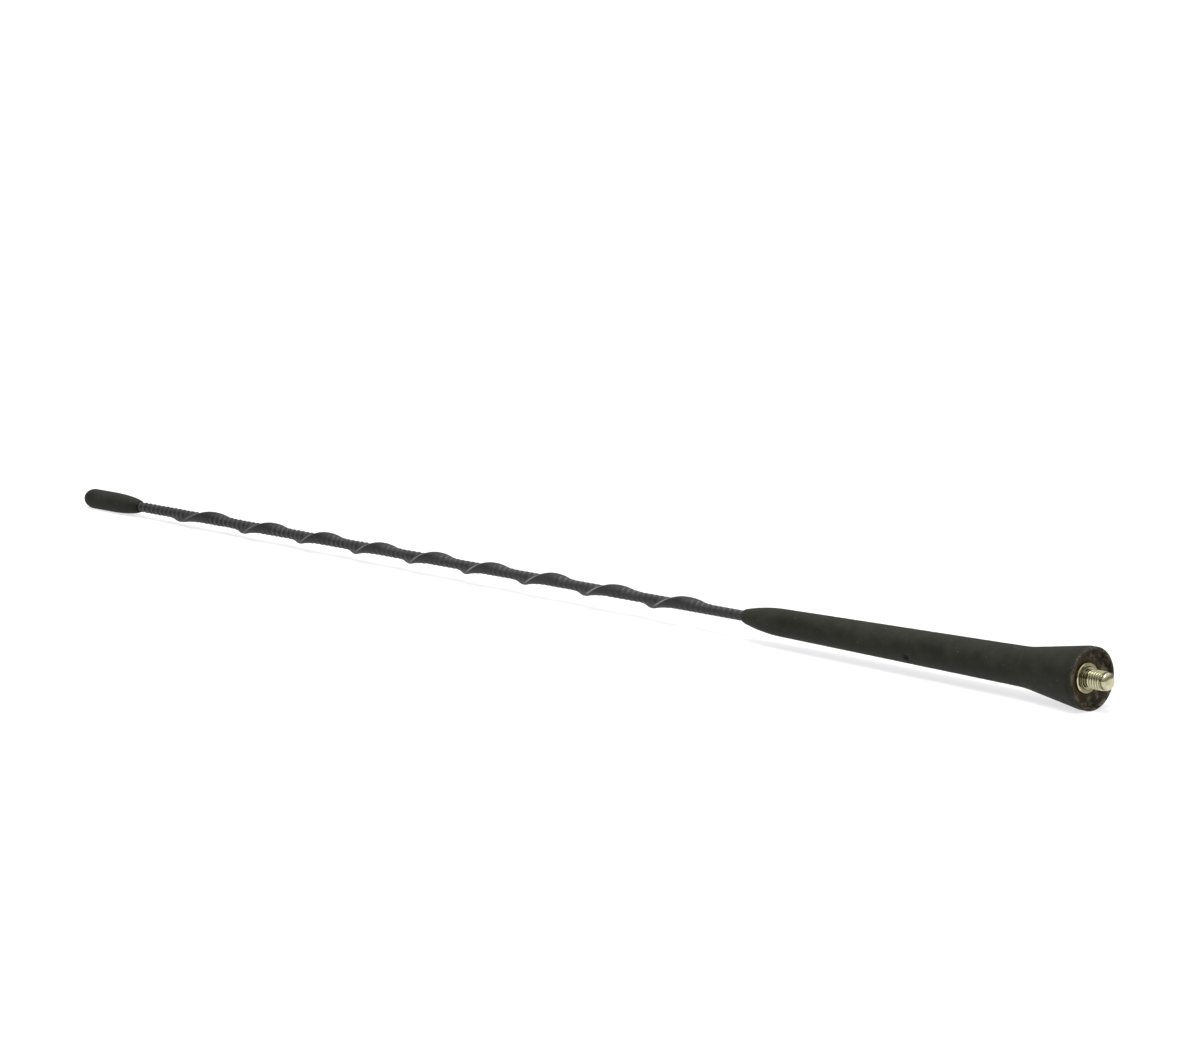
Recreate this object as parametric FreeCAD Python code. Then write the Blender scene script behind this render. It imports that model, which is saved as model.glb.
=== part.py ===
import FreeCAD, Part
import math
import os

# Screw-in car radio antenna, lying along X. The origin is the centre of the grip's rim, the stud
# points along +X and the whip runs along -X. "Along" below is the distance from the rim to the tip.

# Whip
mast_length = 403.6
rod_d = 1.8
wire_d = 0.2
sleeve_wall = 0.2
sleeve_in_grip = 8.8
sleeve_in_cap = 7.6

# Wind spiral under the sleeve, wound left-handed, its turns a little longer at both ends
cord_d = 1.0
cord_from_grip = 8.2
cord_from_cap = 8.4
cord_taper = 9.0
spiral_pitch = 23.7
spiral_shift = -4.6
spiral_phase = 111.5
spiral_easing = 0.412

# Grip
rim_d = 16.0
rim_land = 2.2
rim_round = 0.3
recess_d = 14.6
recess_depth = 2.5
neck_along = 20.8
neck_d = 10.3
neck_round = 30.0
nose_along = 105.6
nose_start_d = 7.4
nose_length = 13.8
nose_end_d = 3.7
nose_bulge = 0.44

# Stud
thread_d = 5.0
thread_length = 4.55
thread_runout = 0.2
relief_d = 4.2
relief_length = 0.65
pilot_d = 4.5
pilot_length = 1.5
pilot_taper = 0.9
pilot_end_d = 2.6
collar_d = 5.8
collar_length = 0.5
flange_d = 8.0
flange_thickness = 0.85
flange_chamfer = 0.25
shank_flats = 6.0
shank_length = 16.0
groove_d = 4.6
groove_width = 3.0
groove_along = 6.5
ferrule_d = 3.8
ferrule_length = 14.0
rod_grip_length = 18.0

# Tip cap
cap_d = 6.0
cap_length = 26.6
cap_mouth_d = 3.5
cap_waist = 4.6
cap_waist_d = 5.12
cap_swell = 12.6
cap_end_wall = 5.0

# Slack between moulded or drawn-on pieces
slack = 0.02

AXIS = FreeCAD.Vector(1, 0, 0)
ORIGIN = FreeCAD.Vector(0, 0, 0)


def at(along, radius):
    return FreeCAD.Vector(-along, 0, radius)


def lines(*spots):
    points = [at(*spot) for spot in spots]
    return [Part.makeLine(a, b) for a, b in zip(points, points[1:])]


def bulged(start, end, bulge):
    a, b = at(*start), at(*end)
    out = FreeCAD.Vector(a.z - b.z, 0, b.x - a.x).normalize()
    if out.z < 0:
        out = out * -1
    return [Part.Arc(a, (a + b) * 0.5 + out * bulge, b).toShape()]


def spun(edges):
    return Part.Face(Part.Wire(edges)).revolve(ORIGIN, AXIS, 360)


def ring(shape, along, radius):
    found = []
    for edge in shape.Edges:
        if not edge.Degenerated and isinstance(edge.Curve, Part.Circle):
            close = abs(edge.Curve.Radius - radius) < 1e-4
            if close and abs(edge.Curve.Center.x + along) < 1e-4:
                found.append(edge)
    return found


def rod(start, end, diameter):
    return Part.makeCylinder(diameter / 2, end - start, at(start, 0), AXIS * -1)


# Stations along the mast, from the rim of the grip

nose_end = nose_along + nose_length
cap_start = mast_length - cap_length
sleeve_start = nose_end - sleeve_in_grip
sleeve_end = cap_start + sleeve_in_cap
cord_start = nose_end + cord_from_grip
cord_end = cap_start - cord_from_cap
rod_tip = mast_length - cap_end_wall

# Stud: what is buried in the rubber, widened by some slack to make the cavity of the grip

flange_back = recess_depth
flange_face = flange_back - flange_thickness
collar_face = flange_face - collar_length
thread_start = collar_face - relief_length
thread_end = thread_start - thread_length
stud_tip = thread_end - pilot_length
shank_end = flange_back + shank_length
ferrule_end = shank_end + ferrule_length
rod_start = ferrule_end - rod_grip_length


def hexagon_bar(start, end, flats):
    corner_r = flats / 2 / math.cos(math.pi / 6)
    corners = []
    for i in range(7):
        turned = math.pi * i / 3
        corners.append(at(start, 0) + FreeCAD.Vector(0, math.cos(turned), math.sin(turned)) * corner_r)
    return Part.Face(Part.makePolygon(corners)).extrude(at(end - start, 0))


def buried(extra):
    groove_start = flange_back + groove_along
    groove_end = groove_start + groove_width
    first = hexagon_bar(flange_back, groove_start, shank_flats + 2 * extra)
    last = hexagon_bar(groove_end, shank_end, shank_flats + 2 * extra)
    neck = rod(groove_start, groove_end, groove_d + 2 * extra)
    return first.fuse(neck).fuse(last).fuse(rod(shank_end, ferrule_end, ferrule_d + 2 * extra))


head = spun(lines(
    (flange_back, 0),
    (flange_back, flange_d / 2),
    (flange_face, flange_d / 2),
    (flange_face, collar_d / 2),
    (collar_face, collar_d / 2),
    (collar_face, relief_d / 2),
    (thread_start, relief_d / 2),
    (thread_start, thread_d / 2),
    (thread_end + thread_runout, thread_d / 2),
    (thread_end, pilot_d / 2),
    (stud_tip + pilot_taper, pilot_d / 2),
    (stud_tip, pilot_end_d / 2),
    (stud_tip, 0),
    (flange_back, 0),
))
head = head.makeChamfer(flange_chamfer, ring(head, flange_face, flange_d / 2))
rod_bore = rod(rod_start, ferrule_end, rod_d + 2 * slack)
threaded_stud = head.fuse(buried(0)).cut(rod_bore).removeSplitter()

# Rod and the wire wound on it, whose turns are one solid

winding_d = rod_d + 2 * wire_d
core_rod = rod(rod_start, rod_tip, rod_d)
radiator_winding = rod(ferrule_end, sleeve_end, winding_d)
radiator_winding = radiator_winding.cut(rod(ferrule_end, sleeve_end, rod_d + 2 * slack))

# Whip sections: a belt drawn round the winding and the cord, with a corner on the crest of the cord,
# one on each side of it, one where each flank meets the round part, and the rest spread over that part

SECTIONS_PER_TURN = 9
ROUND_SPAN = 3
LEAST_FLANK = math.radians(35)
LEAST_SHOULDER = math.radians(8)
twist = math.cos(math.pi / SECTIONS_PER_TURN)
facet = math.cos((math.pi - LEAST_FLANK) / ROUND_SPAN / 2)
cord_seat = (winding_d / 2 + slack) / twist
bore_r = cord_seat / facet
sleeve_r = bore_r + sleeve_wall
cord_half = (cord_end - cord_start) / 2
spiral_middle = cord_start + cord_half + spiral_shift


def spiral_angle(along):
    inside = min(max(along, cord_start), cord_end) - spiral_middle
    turns = inside / spiral_pitch - spiral_easing * (inside / cord_half) ** 3
    return math.radians(spiral_phase) + 2 * math.pi * turns


def cord_size(along):
    reach = min(along - cord_start, cord_end - along)
    if reach < 0:
        return 0
    return cord_d / 2 * min(max(reach / cord_taper, 0.2), 1)


def corner(along, angle, radius):
    turned = spiral_angle(along) + angle
    return FreeCAD.Vector(-along, radius * math.cos(turned), radius * math.sin(turned))


def belt(along, big, cover):
    size = cord_size(along)
    small = size + cover
    centre = cord_seat + size
    tented = size > 0 and centre + small > big
    flank = math.acos((big - small) / centre) if tented else 0
    shoulder = math.atan2(small * math.sin(flank), centre + small * math.cos(flank))
    start = max(flank, LEAST_FLANK)
    angles = [0, max(shoulder, LEAST_SHOULDER)]
    angles += [start + (math.pi - start) * i / ROUND_SPAN for i in range(ROUND_SPAN)]
    radii = [centre + small if tented else big]
    for angle in angles[1:]:
        radii.append(big / math.cos(max(flank - angle, 0)))
    half = list(zip(angles, radii))
    other = [(-angle, radius) for angle, radius in half[:0:-1]]
    return [corner(along, *spot) for spot in half + [(math.pi, big)] + other]


def cord_section(along):
    size = cord_size(along)
    centre = cord_seat + size
    corners = []
    for i in range(6):
        side = size * math.sin(math.pi * i / 3)
        height = centre + size * math.cos(math.pi * i / 3)
        corners.append(corner(along, math.atan2(side, height), math.hypot(side, height)))
    return corners


def triangle(*corners):
    return Part.Face(Part.makePolygon(corners + corners[:1]))


def skin(sections, proud):
    faces = []
    for a, b in zip(sections, sections[1:]):
        for i in range(len(a)):
            if proud:
                faces.append(triangle(a[i - 1], a[i], b[i - 1]))
                faces.append(triangle(a[i], b[i], b[i - 1]))
            else:
                faces.append(triangle(a[i - 1], a[i], b[i]))
                faces.append(triangle(a[i - 1], b[i], b[i - 1]))
    return faces


def loop(section):
    return Part.makePolygon(section + section[:1])


def solid(faces):
    made = Part.Solid(Part.Shell(faces))
    if made.Volume < 0:
        made.reverse()
    return made


step = spiral_pitch / SECTIONS_PER_TURN
count = int((cord_end - cord_start) / step)
spots = [cord_start + step * i for i in range(count + 1)]
whole = [sleeve_start, cord_start - step] + spots + [spots[-1] + step, sleeve_end]
outside = [belt(spot, sleeve_r, sleeve_wall + 2 * slack) for spot in whole]
inside = [belt(spot, bore_r, 2 * slack) for spot in whole]
ends = [Part.Face([loop(outside[i]), loop(inside[i])]) for i in (0, -1)]
whip_sleeve = solid(skin(outside, True) + skin(inside, True) + ends)

cord = [cord_section(spot) for spot in spots]
cord_ends = [Part.Face(loop(cord[i])) for i in (0, -1)]
wind_spiral = solid(skin(cord, False) + cord_ends)

# Grip: bell, taper and nose turned in one, with the recess, the buried stud and the whip taken out

pocket_d = 2 * (sleeve_r + slack)
body = spun(lines(
    (nose_end, 0),
    (0, 0),
    (0, rim_d / 2 - rim_round),
    (rim_round - rim_round * math.sqrt(0.5), rim_d / 2 - rim_round + rim_round * math.sqrt(0.5)),
    (rim_round, rim_d / 2),
    (rim_land, rim_d / 2),
    (neck_along, neck_d / 2),
    (nose_along, nose_start_d / 2),
) + bulged(
    (nose_along, nose_start_d / 2),
    (nose_end, nose_end_d / 2),
    nose_bulge,
) + lines(
    (nose_end, nose_end_d / 2),
    (nose_end, 0),
))
body = body.makeFillet(neck_round, ring(body, neck_along, neck_d / 2))
recess = rod(0, recess_depth, recess_d)
grip = body.cut(recess).cut(buried(slack))
grip = grip.cut(rod(ferrule_end, sleeve_start, winding_d + 2 * slack))
grip = grip.cut(rod(sleeve_start, nose_end, pocket_d))

# Tip cap: capsule with a domed end, bored for the whip and for the bare end of the rod

cap_r = cap_d / 2
waist_end = cap_start + cap_waist
swell_end = cap_start + cap_swell
dome_start = mast_length - cap_r
capsule = spun(lines(
    (cap_start, 0),
    (cap_start, cap_mouth_d / 2),
    (waist_end, cap_waist_d / 2),
    (swell_end, cap_r),
    (dome_start, cap_r),
) + bulged(
    (dome_start, cap_r),
    (mast_length, 0),
    cap_r * (1 - math.sqrt(0.5)),
) + lines(
    (mast_length, 0),
    (cap_start, 0),
))
tip_cap = capsule.cut(rod(cap_start, sleeve_end, pocket_d))
tip_cap = tip_cap.cut(rod(sleeve_end, rod_tip, rod_d + 2 * slack))

os.makedirs("parts", exist_ok=True)
threaded_stud.exportStep("parts/threaded_stud.step")
grip.exportStep("parts/grip.step")
core_rod.exportStep("parts/core_rod.step")
radiator_winding.exportStep("parts/radiator_winding.step")
wind_spiral.exportStep("parts/wind_spiral.step")
whip_sleeve.exportStep("parts/whip_sleeve.step")
tip_cap.exportStep("parts/tip_cap.step")
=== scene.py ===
import math

import bpy
import numpy as np
from mathutils import Matrix, Vector


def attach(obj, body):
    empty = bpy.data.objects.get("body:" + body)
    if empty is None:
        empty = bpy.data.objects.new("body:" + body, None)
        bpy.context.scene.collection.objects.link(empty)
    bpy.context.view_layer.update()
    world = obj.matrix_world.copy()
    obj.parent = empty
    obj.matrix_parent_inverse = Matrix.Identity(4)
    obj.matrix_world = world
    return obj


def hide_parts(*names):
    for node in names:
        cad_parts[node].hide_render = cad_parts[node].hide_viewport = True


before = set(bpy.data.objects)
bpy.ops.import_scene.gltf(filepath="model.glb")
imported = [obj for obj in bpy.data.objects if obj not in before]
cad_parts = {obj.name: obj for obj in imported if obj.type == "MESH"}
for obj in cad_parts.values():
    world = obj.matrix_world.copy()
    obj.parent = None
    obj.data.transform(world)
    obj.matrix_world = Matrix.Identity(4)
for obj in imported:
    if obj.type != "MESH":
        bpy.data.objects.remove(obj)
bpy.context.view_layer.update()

# Sizes are in millimetres and side angles in radians. "Along" is the distance from the rim of the grip
# towards the tip, and a name that ends in R is a radius.

MM = 0.001
FULL_TURN = 2 * math.pi
CLOSED_R = 0.004

# Skins


def spokes(count):
    """A row of angles round the mast."""
    return (np.arange(count) * 2 * math.pi / count)[None, :]


def tube(name, along, radius, turns):
    """A skin round the mast. Rows are rings and columns are spokes."""
    x, r, a = np.broadcast_arrays(-along, radius, turns)
    ring_count, spoke_count = r.shape
    points = np.stack([x, r * np.cos(a), r * np.sin(a)], axis=-1).reshape(-1, 3) * MM
    here = np.arange((ring_count - 1) * spoke_count).reshape(ring_count - 1, spoke_count)
    beside = np.roll(here, -1, axis=1)
    quads = np.stack([here, here + spoke_count, beside + spoke_count, beside], axis=-1).reshape(-1, 4)
    mesh = bpy.data.meshes.new(name)
    mesh.from_pydata(points.tolist(), [], quads.tolist())
    mesh.polygons.foreach_set("use_smooth", [True] * len(quads))
    mesh.update()
    piece = bpy.data.objects.new(name, mesh)
    bpy.context.collection.objects.link(piece)
    return piece


def paint(piece, name, values):
    """Store one value for each point of a skin, for its material to read."""
    layer = piece.data.attributes.new(name, "FLOAT", "POINT")
    layer.data.foreach_set("value", np.ascontiguousarray(values, dtype=np.float32).ravel())


def line(a, b, count):
    """Points from a to b, without b itself."""
    return [(a[0] + (b[0] - a[0]) * i / count, a[1] + (b[1] - a[1]) * i / count) for i in range(count)]


def arc(centre, size, start, end, count):
    """Part of an ellipse, without its last point. Angles are in degrees from the direction of the tip."""
    out = []
    for i in range(count):
        a = math.radians(start + (end - start) * i / count)
        out.append((centre[0] + size[0] * math.cos(a), centre[1] + size[1] * math.sin(a)))
    return out


def columns(outline):
    """The along values and the radii of an outline, as two columns."""
    points = np.array(outline)
    return points[:, :1], points[:, 1:]


def fade(value, start, end):
    """A smooth change from 0 at start to 1 at end. Start may be the larger of the two."""
    t = np.clip((value - start) / (end - start), 0, 1)
    return t * t * (3 - 2 * t)


def waves(along, terms):
    """Sum of slow waves along the mast, each with a height, a rate and a phase."""
    return sum(height * np.sin(along * rate + phase) for height, rate, phase in terms)


NOISE_TERMS = 9
NOISE_PHASES = 6.28


def wobble(a, b, seed, low=1.0, high=6.0):
    """Smooth noise over two arrays."""
    rng = np.random.default_rng(seed)
    total = np.zeros(np.broadcast(a, b).shape)
    for _ in range(NOISE_TERMS):
        rate_a = rng.uniform(low, high)
        rate_b = rng.uniform(low, high)
        phase = rng.uniform(0, NOISE_PHASES)
        total = total + np.sin(a * rate_a + b * rate_b * rng.choice([-1, 1]) + phase)
    return total / math.sqrt(NOISE_TERMS)


# Grip: recess and rim at the base, bell, slow taper, nose

RIM_R = 8.0
RIM_ROUND = 0.4
LAND_END = 2.2
RECESS_R = 7.3
RECESS_DEPTH = 2.5
RECESS_ROUND = 0.4
LIP_ROUND = 0.2
STUD_HOLE_R = 3.2
NECK_ALONG = 20.8
NECK_R = 5.15
NECK_SOFTNESS = 0.12
NOSE_ALONG = 105.6
NOSE_R = 3.70
NOSE_LENGTH = 13.8
NOSE_DROP = 1.61
NOSE_SLOPE = 0.0171
NOSE_LIP = (0.2, 0.1)
NOSE_STEPS = 50
MOUTH_R = 1.75
MOUTH_BEVEL = 0.05
SLEEVE_HOLE_R = 1.54
SLEEVE_HOLE_END = 112.6
BELL_RINGS = 260
SMOOTH_RINGS = 2
GRIP_SPOKES = 192

UNEVEN_LONG = 0.012
UNEVEN_SHORT = 0.010
UNEVEN_LONG_RATES = (0.25, 2)
UNEVEN_SHORT_RATES = (0.6, 3)
UNEVEN_LONG_SEED = 3
UNEVEN_SHORT_SEED = 5

CAMERA_SIDE = math.radians(166.9)
NICK_ALONG = 58.3
NICK_SIDE = CAMERA_SIDE + math.radians(43)
NICK_LENGTH = 1.2
NICK_NARROWNESS = 3.8
NICK_SPREAD = 0.8
NICK_DEPTH = 0.40


def recess_and_rim():
    floor_r = RECESS_R - RECESS_ROUND
    wall_end = RECESS_DEPTH - RECESS_ROUND
    outline = line((RECESS_DEPTH, STUD_HOLE_R), (RECESS_DEPTH, floor_r), 12)
    outline += arc((wall_end, floor_r), (RECESS_ROUND, RECESS_ROUND), 0, 90, 6)
    outline += line((wall_end, RECESS_R), (LIP_ROUND, RECESS_R), 8)
    outline += arc((LIP_ROUND, RECESS_R + LIP_ROUND), (LIP_ROUND, LIP_ROUND), 270, 180, 5)
    outline += arc((RIM_ROUND, RIM_R - RIM_ROUND), (RIM_ROUND, RIM_ROUND), 180, 90, 8)
    return outline


def bell_and_taper():
    outline = line((RIM_ROUND, RIM_R), (LAND_END, RIM_R), 8)
    along = np.linspace(LAND_END, NOSE_ALONG, BELL_RINGS)[:-1]
    flare = RIM_R + (NECK_R - RIM_R) * (along - LAND_END) / (NECK_ALONG - LAND_END)
    taper = NECK_R + (NOSE_R - NECK_R) * (along - NECK_ALONG) / (NOSE_ALONG - NECK_ALONG)
    blend = np.logaddexp(flare / NECK_SOFTNESS, taper / NECK_SOFTNESS) * NECK_SOFTNESS
    return outline + list(zip(along, blend))


def nose_and_mouth():
    curve_length = NOSE_LENGTH - NOSE_LIP[0]
    curve_r = (NOSE_LENGTH ** 2 + NOSE_DROP ** 2) / (2 * NOSE_DROP)
    nose_end = NOSE_ALONG + NOSE_LENGTH
    outline = []
    for i in range(NOSE_STEPS):
        run = curve_length * i / NOSE_STEPS
        outline.append((NOSE_ALONG + run, NOSE_R - NOSE_SLOPE * run - run ** 2 / 2 / curve_r))
    outline += arc((NOSE_ALONG + curve_length, MOUTH_R), NOSE_LIP, 90, 0, 5)
    outline += line((nose_end, MOUTH_R), (nose_end - MOUTH_BEVEL, SLEEVE_HOLE_R), 3)
    outline += line((nose_end - MOUTH_BEVEL, SLEEVE_HOLE_R), (SLEEVE_HOLE_END, SLEEVE_HOLE_R), 4)
    return outline


def unevenness(along, turns):
    along_rate, side_rate = UNEVEN_LONG_RATES
    uneven = UNEVEN_LONG * wobble(along * along_rate, np.cos(turns) * side_rate, UNEVEN_LONG_SEED)
    along_rate, side_rate = UNEVEN_SHORT_RATES
    return uneven + UNEVEN_SHORT * wobble(along * along_rate, np.sin(turns) * side_rate, UNEVEN_SHORT_SEED)


def grip_skin():
    base = recess_and_rim()
    along, radius = columns(base + bell_and_taper() + nose_and_mouth())
    turns = spokes(GRIP_SPOKES)
    outside = np.arange(len(along))[:, None] >= len(base) + SMOOTH_RINGS
    from_nick = np.hypot((along - NICK_ALONG) / NICK_LENGTH, (turns - NICK_SIDE) * NICK_NARROWNESS)
    nick = np.exp(-(from_nick / NICK_SPREAD) ** 4)
    dents = np.minimum(unevenness(along, turns), 0) - NICK_DEPTH * nick
    piece = tube("grip_skin", along, radius + np.where(outside, dents, 0), turns)
    # Painted shade: the nick's dent is painted black.
    paint(piece, "nick_shade", nick)
    return piece


# Tip cap: swells from its mouth to a plain round stretch, closed by a dome

MAST_LENGTH = 403.6
CAP_START = 377.0
CAP_HIDDEN_END = 383.6
CAP_MOUTH_R = 1.42
CAP_LIP = 0.05
CAP_R = 3.0
CAP_SWELL = 13.0
CAP_FULLNESS = 1.85
CAP_DOME = 4.2
SWELL_STEPS = 48
CAP_SPOKES = 128


def cap_skin():
    outline = line((CAP_HIDDEN_END, CAP_MOUTH_R), (CAP_START + CAP_LIP, CAP_MOUTH_R), 4)
    for i in range(SWELL_STEPS):
        done = i / SWELL_STEPS
        rise = max(1 - (1 - done) ** CAP_FULLNESS, 0) ** (1 / CAP_FULLNESS)
        outline.append((CAP_START + CAP_SWELL * done, CAP_MOUTH_R + (CAP_R - CAP_MOUTH_R) * rise))
    dome_start = MAST_LENGTH - CAP_DOME
    outline += line((CAP_START + CAP_SWELL, CAP_R), (dome_start, CAP_R), 24)
    outline += arc((dome_start, 0.0), (CAP_DOME, CAP_R), 90, 0, 30)
    outline.append((MAST_LENGTH, CLOSED_R))
    along, radius = columns(outline)
    return tube("cap_skin", along, radius, spokes(CAP_SPOKES))


# Whip sleeve: fine ridges from the wire, and a tent over the coarse cord that winds the other way

SLEEVE_START = 113.6
SLEEVE_END = 383.1
SLEEVE_STEP = 0.2
SLEEVE_SPOKES = 56
SLEEVE_R = 1.37
SLEEVE_MOST_R = 2.42
HIDDEN_MOST_R = 1.47
SEEN_START = 118.6
SEEN_END = 377.8

CORD_START = 127.6
CORD_END = 368.6
CORD_RISE = (-1.0, 10.0)
CORD_RISE_AT_TIP = 1.35
CORD_SIZE_WAVES = ((0.04, 0.13, 2), (0.03, 0.37, 0))
SPIRAL_MIDDLE = 243.5
SPIRAL_PHASE = math.radians(111.5)
SPIRAL_PITCH = 23.7
SPIRAL_EASE = 0.2356
SPIRAL_EASE_LENGTH = 100
WANDER_WAVES = ((0.08, 0.21, 0),)
WANDER_BEAT = ((1, 0.047, 1),)
TIP_TWIST = 0.34
TIP_TWIST_SPAN = (335, 362)
GRIP_TWIST = 0.15
GRIP_TWIST_SPAN = (160, 138)

FLAT_CORD_R = 0.33
FLAT_CORD_OFFSET = 1.04
CORD_R_GAIN = 0.37
CORD_OFFSET_GAIN = 0.63
LEAST_TENT = 0.003
STEEPEST_FLANK = 1.4
SLOW_FLANK = math.radians(108)
SLOW_FLANK_POWER = 1.3
SLOW_FLANK_SHARE = 0.55

RIDGE_PITCH = 2.05
RIDGE_WAVES = ((0.5, 0.09, 0), (0.25, 0.31, 1))
RIDGE_POWER = 1.6
RIDGE_HEIGHT = 0.07
RIDGE_TIP_GAIN = 0.10
RIDGE_TIP_SPAN = (170, 330)
RIDGE_GRIP_LOSS = 0.02
RIDGE_GRIP_SPAN = (150, 118)
RIDGE_UNEVEN = 0.25
RIDGE_UNEVEN_RATE = 0.8
RIDGE_UNEVEN_RANGE = (0.4, 1.6)
RIDGE_UNEVEN_SEED = 11
RIDGE_LIMITS = (0.02, 0.2)

STEEP_SPAN = (-0.40, -0.90)
TAUT_SPAN = (math.radians(45), math.radians(100))
TAUT_LOSS = 0.9
CORD_SHOWS = (0, 0.5)

# Painted shade: the ridge paint is cleared beside the cord, where its crest shades the ridges, over a span
# that starts later on the lower side of the mast.
DULL_LEAST = math.radians(20)
DULL_GAIN = math.radians(100)
DULL_POWER = 0.6
DULL_FADE = 0.9
# Painted highlight along the cord: a light line on the steep side of its crest, faded out on the lower side
# of the mast.
CREST_SIDE = -0.22
CREST_WIDTH = 0.10
CREST_UPWARD = (0.08, 0.40)
# Ridge paint: lighter ridges, worn more towards the tip, with a painted highlight on the ridges that face
# up.
WEAR_LEAST = 0.04
WEAR_TIP_GAIN = 0.63
WEAR_TIP_SPAN = (230, 350)
TOP_RIDGE_HIGHLIGHT = 0.9
TOP_RIDGE_HIGHLIGHT_POWER = 6
WEAR_POWER = 5


def cord_angle(along):
    """Where the cord lies round the mast. Its turns lie farther apart towards both ends."""
    inside = np.clip(along, CORD_START, CORD_END) - SPIRAL_MIDDLE
    ease = SPIRAL_EASE * (inside / SPIRAL_EASE_LENGTH) ** 3
    angle = SPIRAL_PHASE + FULL_TURN * (inside / SPIRAL_PITCH - ease)
    angle = angle + waves(along, WANDER_WAVES) * waves(along, WANDER_BEAT)
    return angle - TIP_TWIST * fade(along, *TIP_TWIST_SPAN) - GRIP_TWIST * fade(along, *GRIP_TWIST_SPAN)


def cord_size(along):
    """About 1 where the cord stands at its full height, and 0 past its ends."""
    inside = np.minimum(along - CORD_START, CORD_RISE_AT_TIP * (CORD_END - along))
    return fade(inside, *CORD_RISE) * (1 + waves(along, CORD_SIZE_WAVES))


def tent_radius(side, size):
    """A belt round mast and cord, which falls away more slowly on the side where the angle is positive."""
    cord_r = FLAT_CORD_R + CORD_R_GAIN * size
    offset = FLAT_CORD_OFFSET + CORD_OFFSET_GAIN * size
    away = np.abs(side)
    tented = offset + cord_r > SLEEVE_R + LEAST_TENT
    flank = np.where(tented, np.arccos(np.clip((SLEEVE_R - cord_r) / offset, -1, 1)), 0.0)
    shoulder = np.arctan2(cord_r * np.sin(flank), offset + cord_r * np.cos(flank))
    belt = SLEEVE_R / np.cos(np.clip(flank - away, 0, STEEPEST_FLANK))
    top = offset * np.cos(away) + np.sqrt(np.maximum(cord_r ** 2 - (offset * np.sin(away)) ** 2, 0))
    height = np.where(tented & (away < shoulder), top, belt) - SLEEVE_R
    slope = np.cos(np.clip(side / SLOW_FLANK, 0, 1) * math.pi / 2) ** SLOW_FLANK_POWER
    slow = SLOW_FLANK_SHARE * (offset + cord_r - SLEEVE_R) * slope + (1 - SLOW_FLANK_SHARE) * height
    return SLEEVE_R + np.where(side > 0, np.maximum(height, slow), height)


def ridge_height(along, turns):
    """Ridges are stronger towards the tip and weaker next to the grip, and uneven everywhere."""
    height = RIDGE_HEIGHT + RIDGE_TIP_GAIN * fade(along, *RIDGE_TIP_SPAN)
    height = height - RIDGE_GRIP_LOSS * fade(along, *RIDGE_GRIP_SPAN)
    uneven = wobble(along * RIDGE_UNEVEN_RATE, turns, RIDGE_UNEVEN_SEED, *RIDGE_UNEVEN_RANGE)
    return np.clip(height * (1 + RIDGE_UNEVEN * uneven), *RIDGE_LIMITS)


def near_cord(side, size, start, end):
    """1 on the cord, and 0 where the skin lies on the mast again, between start and end on the slow side."""
    steep = 1 - fade(side, *STEEP_SPAN)
    return np.where(side > 0, 1 - fade(side, start, end), steep) * fade(size, *CORD_SHOWS)


def sleeve_skin():
    along = np.arange(SLEEVE_START, SLEEVE_END, SLEEVE_STEP)[:, None]
    turns = spokes(SLEEVE_SPOKES)
    side = (turns - cord_angle(along) + math.pi) % FULL_TURN - math.pi
    size = cord_size(along)
    wire = 0.5 + 0.5 * np.cos(along / RIDGE_PITCH * FULL_TURN + turns + waves(along, RIDGE_WAVES))
    taut = near_cord(side, size, *TAUT_SPAN)
    ridges = ridge_height(along, turns) * wire ** RIDGE_POWER * (1 - TAUT_LOSS * taut)
    skin = np.minimum(tent_radius(side, size) + ridges, SLEEVE_MOST_R)
    hidden = (along < SEEN_START) | (along > SEEN_END)
    skin = np.where(hidden, np.minimum(skin, HIDDEN_MOST_R), skin)
    piece = tube("sleeve_skin", along, skin, turns)

    # The crest paint is a painted highlight, kept to the upper side of the mast where the light falls.
    upward = 0.5 + 0.5 * np.sin(turns)
    crest = np.exp(-((side - CREST_SIDE) / CREST_WIDTH) ** 2) * size * fade(upward, *CREST_UPWARD)
    paint(piece, "crest", crest)
    # Painted shade beside the cord clears the ridge paint, and the ridges that face up get a painted
    # highlight.
    dull_start = DULL_LEAST + DULL_GAIN * (1 - upward) ** DULL_POWER
    dull = near_cord(side, size, dull_start, dull_start + DULL_FADE)
    wear_and_highlight = WEAR_LEAST + WEAR_TIP_GAIN * fade(along, *WEAR_TIP_SPAN)
    wear_and_highlight = np.maximum(wear_and_highlight, TOP_RIDGE_HIGHLIGHT * upward ** TOP_RIDGE_HIGHLIGHT_POWER)
    paint(piece, "wire", wire ** WEAR_POWER * (1 - dull) * wear_and_highlight)
    return piece


# Stud: flange and collar in the recess, then a helical M5 thread, a plain pilot and a domed end

FLANGE_R = 4.0
FLANGE_BACK = 2.4
FLANGE_FACE = 1.65
FLANGE_CHAMFER = 0.25
BACK_BEVEL = (0.05, 0.1)
COLLAR_R = 2.9
COLLAR_FACE = 1.15
COLLAR_ROUND = 0.1
RELIEF_START = 1.1
RELIEF_R = 2.12
THREAD_START = 0.6
THREAD_END = -3.95
THREAD_STEP = 0.04
THREAD_ROOT_R = 2.13
THREAD_HEIGHT = 0.36
THREAD_PITCH = 0.8
THREAD_RUN_IN = 0.3
THREAD_RUN_OUT = 0.25
PILOT_START = -4.05
PILOT_END = -4.5
PILOT_R = 2.25
STUD_END = -5.55
DOME_STEPS = 30
DOME_POWERS = (0.9, 0.8)
STUD_SPOKES = 128

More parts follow.
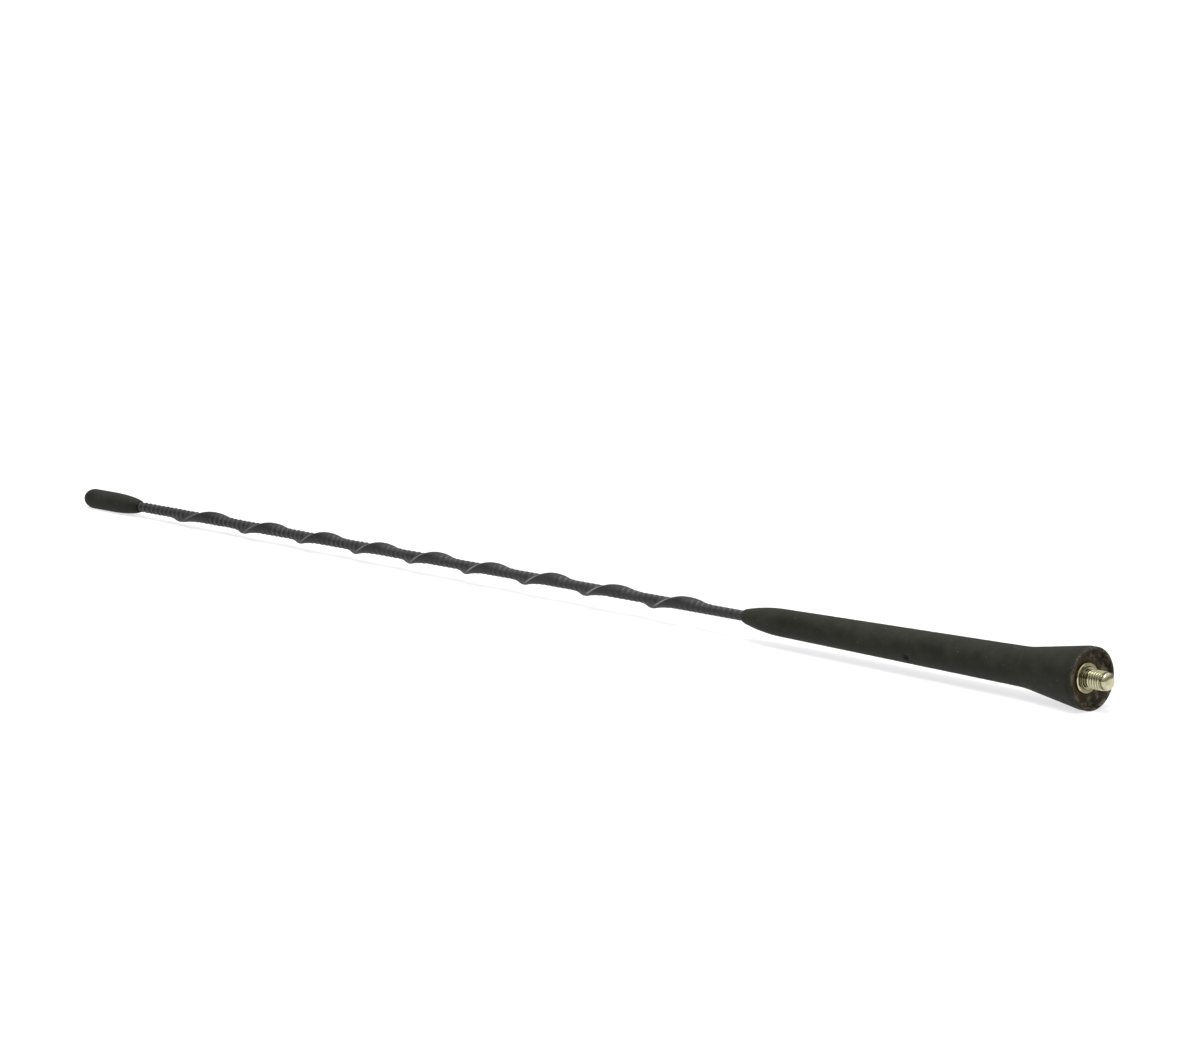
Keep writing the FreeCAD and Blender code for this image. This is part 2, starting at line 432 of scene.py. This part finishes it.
# Darkening painted on the stud: dirt and a painted dark reflection on the flange face, dirt and painted
# shade in the relief, and painted shade in the thread valleys.
FACE_DARKENING = 0.8
FACE_DARKENING_SPAN = (1.3, 1.7)
FACE_DARKENING_R = 3.72
RELIEF_DARKENING = 0.6
RELIEF_DARKENING_START = 1.16
VALLEY_SHADE = 0.9


def flange_and_collar():
    edge_r = FLANGE_R - FLANGE_CHAMFER
    round_start = COLLAR_FACE + COLLAR_ROUND
    face_r = COLLAR_R - COLLAR_ROUND
    outline = line((FLANGE_BACK + BACK_BEVEL[0], FLANGE_R - BACK_BEVEL[1]), (FLANGE_BACK, FLANGE_R), 2)
    outline += line((FLANGE_BACK, FLANGE_R), (FLANGE_FACE + FLANGE_CHAMFER, FLANGE_R), 4)
    outline += line((FLANGE_FACE + FLANGE_CHAMFER, FLANGE_R), (FLANGE_FACE, edge_r), 4)
    outline += line((FLANGE_FACE, edge_r), (FLANGE_FACE, COLLAR_R), 6)
    outline += line((FLANGE_FACE, COLLAR_R), (round_start, COLLAR_R), 4)
    outline += arc((round_start, face_r), (COLLAR_ROUND, COLLAR_ROUND), 90, 180, 4)
    outline += line((COLLAR_FACE, face_r), (RELIEF_START, RELIEF_R), 5)
    outline += line((RELIEF_START, RELIEF_R), (THREAD_START, RELIEF_R), 5)
    return outline


def thread_and_pilot():
    outline = [(along, THREAD_ROOT_R) for along in np.arange(THREAD_START, THREAD_END, -THREAD_STEP)]
    outline += line((THREAD_END, THREAD_ROOT_R), (PILOT_START, PILOT_R), 4)
    outline += line((PILOT_START, PILOT_R), (PILOT_END, PILOT_R), 5)
    for i in range(DOME_STEPS):
        a = math.pi / 2 * i / DOME_STEPS
        along = PILOT_END + (STUD_END - PILOT_END) * math.sin(a) ** DOME_POWERS[0]
        outline.append((along, PILOT_R * math.cos(a) ** DOME_POWERS[1]))
    outline.append((STUD_END, CLOSED_R))
    return outline


def stud_skin():
    along, plain = columns(flange_and_collar() + thread_and_pilot())
    turns = spokes(STUD_SPOKES)
    run_in = fade(along, THREAD_START, THREAD_START - THREAD_RUN_IN)
    run_out = fade(along, THREAD_END, THREAD_END + THREAD_RUN_OUT)
    tooth = 0.5 - 0.5 * np.cos(FULL_TURN * along / THREAD_PITCH - turns)
    tooth = tooth * np.minimum(run_in, run_out)
    on_thread = (along <= THREAD_START) & (along > THREAD_END)
    piece = tube("stud_skin", along, np.where(on_thread, plain + THREAD_HEIGHT * tooth, plain), turns)

    # Dirt, painted shade and a painted dark reflection, stored for the brass to read.
    face_start, face_end = FACE_DARKENING_SPAN
    on_face = (along > face_start) & (along < face_end) & (plain < FACE_DARKENING_R)
    in_relief = (along > THREAD_START) & (along < RELIEF_DARKENING_START)
    grime_and_shade = np.where(in_relief, RELIEF_DARKENING, np.where(on_face, FACE_DARKENING, 0))
    paint(piece, "grime_and_shade", np.where(on_thread, VALLEY_SHADE * (1 - tooth) ** 2, grime_and_shade))
    return piece


# Materials

BLACK = (0.0, 0.0, 0.0)


class Graph:
    """A node tree, with a short word for each kind of node that the looks use."""

    def __init__(self, tree, coordinate):
        self.nodes = tree.nodes
        self.links = tree.links
        self.place = self.nodes.new("ShaderNodeTexCoord").outputs[coordinate]

    def feed(self, socket, value):
        """Join an output to a socket, or set the socket to a number, a vector or a colour (a tuple)."""
        if isinstance(value, bpy.types.NodeSocket):
            self.links.new(value, socket)
        elif isinstance(value, tuple):
            socket.default_value = value + (1.0,)
        else:
            socket.default_value = value

    def noise(self, scale, detail, rough=0.6):
        node = self.nodes.new("ShaderNodeTexNoise")
        self.feed(node.inputs["Vector"], self.place)
        self.feed(node.inputs["Scale"], scale)
        self.feed(node.inputs["Detail"], detail)
        self.feed(node.inputs["Roughness"], rough)
        return node.outputs["Fac"]

    def remap(self, value, old, new):
        node = self.nodes.new("ShaderNodeMapRange")
        self.feed(node.inputs["Value"], value)
        self.feed(node.inputs["From Min"], old[0])
        self.feed(node.inputs["From Max"], old[1])
        self.feed(node.inputs["To Min"], new[0])
        self.feed(node.inputs["To Max"], new[1])
        return node.outputs["Result"]

    def mix(self, factor, first, second):
        node = self.nodes.new("ShaderNodeMix")
        node.data_type = "RGBA"
        self.feed(node.inputs["Factor"], factor)
        self.feed(node.inputs[6], first)
        self.feed(node.inputs[7], second)
        return node.outputs[2]

    def maths(self, kind, first, second):
        node = self.nodes.new("ShaderNodeMath")
        node.operation = kind
        self.feed(node.inputs[0], first)
        self.feed(node.inputs[1], second)
        return node.outputs[0]

    def vector(self, kind, first, second=None):
        node = self.nodes.new("ShaderNodeVectorMath")
        node.operation = kind
        self.feed(node.inputs[0], first)
        if second is not None:
            self.feed(node.inputs[1], second)
        return node.outputs

    def axis(self, name):
        node = self.nodes.new("ShaderNodeSeparateXYZ")
        self.feed(node.inputs[0], self.place)
        return node.outputs[name]

    def painted(self, name):
        node = self.nodes.new("ShaderNodeAttribute")
        node.attribute_name = name
        return node.outputs["Fac"]

    def surface(self, colour, rough, specular=None, metallic=None):
        shader = self.nodes["Principled BSDF"]
        self.feed(shader.inputs["Base Color"], colour)
        self.feed(shader.inputs["Roughness"], rough)
        if specular is not None:
            self.feed(shader.inputs["Specular IOR Level"], specular)
        if metallic is not None:
            self.feed(shader.inputs["Metallic"], metallic)
        return shader

    def bump(self, height, distance, strength):
        node = self.nodes.new("ShaderNodeBump")
        self.feed(node.inputs["Height"], height)
        self.feed(node.inputs["Distance"], distance * MM)
        self.feed(node.inputs["Strength"], strength)
        self.feed(self.nodes["Principled BSDF"].inputs["Normal"], node.outputs["Normal"])


def material(name):
    mat = bpy.data.materials.new(name)
    mat.use_nodes = True
    return mat, Graph(mat.node_tree, "Object")


def rubber(name, dark, light, dress=None):
    """Clouded dull rubber with pale flecks. Dress is a function that adds to the colour."""
    pale = (0.16, 0.155, 0.14)
    mat, graph = material(name)
    cloud = graph.remap(graph.noise(scale=160, detail=5), (0.38, 0.66), (0, 1))
    flecks = graph.remap(graph.noise(scale=900, detail=3), (0.67, 0.74), (0, 0.4))
    colour = graph.mix(flecks, graph.mix(cloud, dark, light), pale)
    if dress:
        colour = dress(graph, colour)
    graph.surface(colour, graph.remap(cloud, (0, 1), (0.52, 0.68)), specular=0.12)
    graph.bump(graph.noise(scale=2600, detail=4), distance=0.06, strength=0.7)
    return mat


def grip_dirt_and_painted_light(graph, colour):
    """Brown dirt in the recess, a painted reflection of the brass round the stud, pale scuffs on the rim,
    and painted shade in the nick.
    """
    dark_dirt = (0.060, 0.051, 0.037)
    pale_dirt = (0.31, 0.275, 0.19)
    brass_reflection = (0.085, 0.052, 0.012)
    pale_scuffs = (0.20, 0.18, 0.13)
    floor_span = (RECESS_DEPTH + 0.2, RECESS_DEPTH + 0.1)
    wall_span = (RECESS_R + 0.15, RECESS_R + 0.25)
    brass_reflection_span = (4.2, 5.6)
    rim_dirt_span = (0.7, 0.2)
    rim_scuff_span = (1.2, 0.3)
    scuff_share = 0.5
    along = graph.maths("DIVIDE", graph.axis("X"), -MM)
    flat = graph.vector("MULTIPLY", graph.place, Vector((0, 1, 1)))["Vector"]
    radius = graph.maths("DIVIDE", graph.vector("LENGTH", flat)["Value"], MM)

    above_floor = graph.remap(along, floor_span, (0, 1))
    within_wall = graph.remap(radius, wall_span, (1, 0))
    in_recess = graph.maths("MULTIPLY", above_floor, within_wall)
    dirty = graph.maths("MAXIMUM", in_recess, graph.remap(along, rim_dirt_span, (0, 0.3)))
    mottle = graph.remap(graph.noise(scale=420, detail=6, rough=0.7), (0.48, 0.66), (0, 1))
    brown = graph.mix(mottle, dark_dirt, pale_dirt)
    # Painted reflection of the brass on the rubber round the stud.
    brown = graph.mix(graph.remap(radius, brass_reflection_span, (0.85, 0)), brown, brass_reflection)
    colour = graph.mix(dirty, colour, brown)

    at_rim = graph.remap(along, rim_scuff_span, (0, 1))
    worn = graph.remap(graph.noise(scale=1100, detail=5, rough=0.7), (0.55, 0.64), (0, 1))
    scuffed = graph.maths("MULTIPLY", graph.maths("MULTIPLY", at_rim, worn), scuff_share)
    colour = graph.mix(scuffed, colour, pale_scuffs)
    # Painted shade: the nick is painted black.
    return graph.mix(graph.painted("nick_shade"), colour, BLACK)


def grip_rubber():
    return rubber("grip_rubber", (0.0155, 0.0153, 0.0110), (0.0285, 0.0282, 0.0210), grip_dirt_and_painted_light)


def cap_plastic():
    return rubber("cap_plastic", (0.013, 0.0132, 0.0105), (0.023, 0.0232, 0.019))


def heat_shrink():
    """Dark plastic, lighter on the ridges where worn and with a painted highlight on the ridges that face
    up, with a painted highlight along the cord's crest, and darker towards the tip.
    """
    dark = (0.0205, 0.0210, 0.0204)
    light = (0.0325, 0.0330, 0.0322)
    ridge_worn_and_highlight_colour = (0.15, 0.15, 0.147)
    crest_highlight_colour = (0.30, 0.30, 0.30)
    ridge_share = 0.8
    crest_share = 0.85
    tip_share = 0.55
    tip_span = (-220 * MM, -360 * MM)
    mat, graph = material("heat_shrink")
    cloud = graph.remap(graph.noise(scale=240, detail=5), (0.35, 0.7), (0, 1))
    colour = graph.mix(cloud, dark, light)
    # Ridge paint: worn ridges with a painted highlight on those that face up.
    colour = graph.mix(graph.maths("MULTIPLY", graph.painted("wire"), ridge_share), colour, ridge_worn_and_highlight_colour)
    # Painted highlight along the crest of the cord.
    colour = graph.mix(graph.maths("MULTIPLY", graph.painted("crest"), crest_share), colour, crest_highlight_colour)
    colour = graph.mix(graph.remap(graph.axis("X"), tip_span, (0, tip_share)), colour, BLACK)
    graph.surface(colour, graph.remap(cloud, (0, 1), (0.42, 0.58)), specular=0.28)
    graph.bump(graph.noise(scale=1800, detail=4), distance=0.05, strength=0.6)
    return mat


def plated_brass():
    """Bright brass, clouded by tarnish, darkened where dirt, painted shade and a painted dark reflection
    were painted on the skin.
    """
    bright = (0.56, 0.54, 0.38)
    tarnished = (0.40, 0.37, 0.22)
    # Dark colour for the painted dirt and shade.
    grime_and_shade = (0.14, 0.115, 0.055)
    mat, graph = material("plated_brass")
    tarnish = graph.remap(graph.noise(scale=500, detail=5), (0.4, 0.7), (0, 1))
    colour = graph.mix(graph.painted("grime_and_shade"), graph.mix(tarnish, bright, tarnished), grime_and_shade)
    graph.surface(colour, graph.remap(tarnish, (0, 1), (0.14, 0.28)), metallic=1.0)
    graph.bump(graph.noise(scale=2500, detail=3), distance=0.02, strength=0.5)
    return mat


# Floor, sky and camera. The mast lies on its rim and on its cap, so the floor leans a little.

CAP_REST_ALONG = 392.0
FLOOR_SIZE = 40
FLOOR_GREY = (0.45, 0.45, 0.45)
FLOOR_SEEN_GREY = (0.36, 0.36, 0.36)
FLOOR_GLOW = 0.70
WINDOW_WAY = Vector((0.1, -0.25, 0.96)).normalized()
WINDOW_EDGE = (0.955, 0.985)
WINDOW_STRENGTH = 11
SKY_HEIGHTS = (0.05, 1.0)
SKY_STRENGTHS = (0.14, 1.35)
CAMERA_RIGHT = Vector((0.6875, 0.72622, 0.0))
CAMERA_UP = Vector((-0.1147, 0.10858, 0.98745))
CAMERA_BACK = Vector((0.7171, -0.67887, 0.15794))
CAMERA_PLACE = Vector((717.3, -844.7, 213.5)) * MM
SENSOR_WIDTH = 36
FOCAL_LENGTH = 138


def white_floor():
    """Grey to light that bounces off it. White, with the shadow kept, to the camera and in reflections."""
    mat, graph = material("white_floor")
    plain = graph.surface(FLOOR_GREY, rough=0.9, specular=0.0)
    white = graph.nodes.new("ShaderNodeBsdfDiffuse")
    graph.feed(white.inputs["Color"], FLOOR_SEEN_GREY)
    glow = graph.nodes.new("ShaderNodeEmission")
    graph.feed(glow.inputs["Strength"], FLOOR_GLOW)
    both = graph.nodes.new("ShaderNodeAddShader")
    graph.feed(both.inputs[0], white.outputs[0])
    graph.feed(both.inputs[1], glow.outputs[0])
    rays = graph.nodes.new("ShaderNodeLightPath").outputs
    seen = graph.maths("MAXIMUM", rays["Is Camera Ray"], rays["Is Glossy Ray"])
    seen = graph.maths("MAXIMUM", seen, rays["Is Transmission Ray"])
    choose = graph.nodes.new("ShaderNodeMixShader")
    graph.feed(choose.inputs[0], seen)
    graph.feed(choose.inputs[1], plain.outputs[0])
    graph.feed(choose.inputs[2], both.outputs[0])
    graph.feed(graph.nodes["Material Output"].inputs["Surface"], choose.outputs[0])
    return mat


def add_floor():
    bpy.ops.mesh.primitive_plane_add(size=FLOOR_SIZE, location=(0, 0, -RIM_R * MM))
    floor = bpy.context.object
    floor.name = "floor"
    floor.rotation_euler = (0, math.atan2(RIM_R - CAP_R, CAP_REST_ALONG), 0)
    floor.data.materials.append(white_floor())


def add_sky():
    """White light that grows with height, and a bright round window overhead."""
    world = bpy.data.worlds.new("studio")
    bpy.context.scene.world = world
    world.use_nodes = True
    graph = Graph(world.node_tree, "Generated")
    height = graph.remap(graph.axis("Z"), SKY_HEIGHTS, SKY_STRENGTHS)
    facing = graph.vector("DOT_PRODUCT", graph.place, WINDOW_WAY)["Value"]
    window = graph.remap(facing, WINDOW_EDGE, (0, WINDOW_STRENGTH))
    sky = graph.nodes["Background"]
    graph.feed(sky.inputs["Color"], (1, 1, 1))
    graph.feed(sky.inputs["Strength"], graph.maths("ADD", height, window))


def add_camera():
    lens = bpy.data.cameras.new("camera")
    lens.sensor_width = SENSOR_WIDTH
    lens.lens = FOCAL_LENGTH
    lens.clip_start = 0.01
    lens.clip_end = 100
    camera = bpy.data.objects.new("camera", lens)
    camera.matrix_world = Matrix((CAMERA_RIGHT, CAMERA_UP, CAMERA_BACK)).transposed().to_4x4()
    camera.location = CAMERA_PLACE
    bpy.context.collection.objects.link(camera)
    bpy.context.scene.camera = camera
    bpy.context.scene.view_settings.view_transform = "Standard"


# The scene

looks = (
    (grip_skin(), "grip", "grip_rubber", grip_rubber()),
    (cap_skin(), "tip_cap", "cap_plastic", cap_plastic()),
    (sleeve_skin(), "whip_sleeve", "sleeve_plastic", heat_shrink()),
    (stud_skin(), "threaded_stud", "stud_brass", plated_brass()),
)
for piece, node, slot, mat in looks:
    piece.data.materials.append(mat)
    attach(piece, "root")
    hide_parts(node)
add_floor()
add_sky()
add_camera()
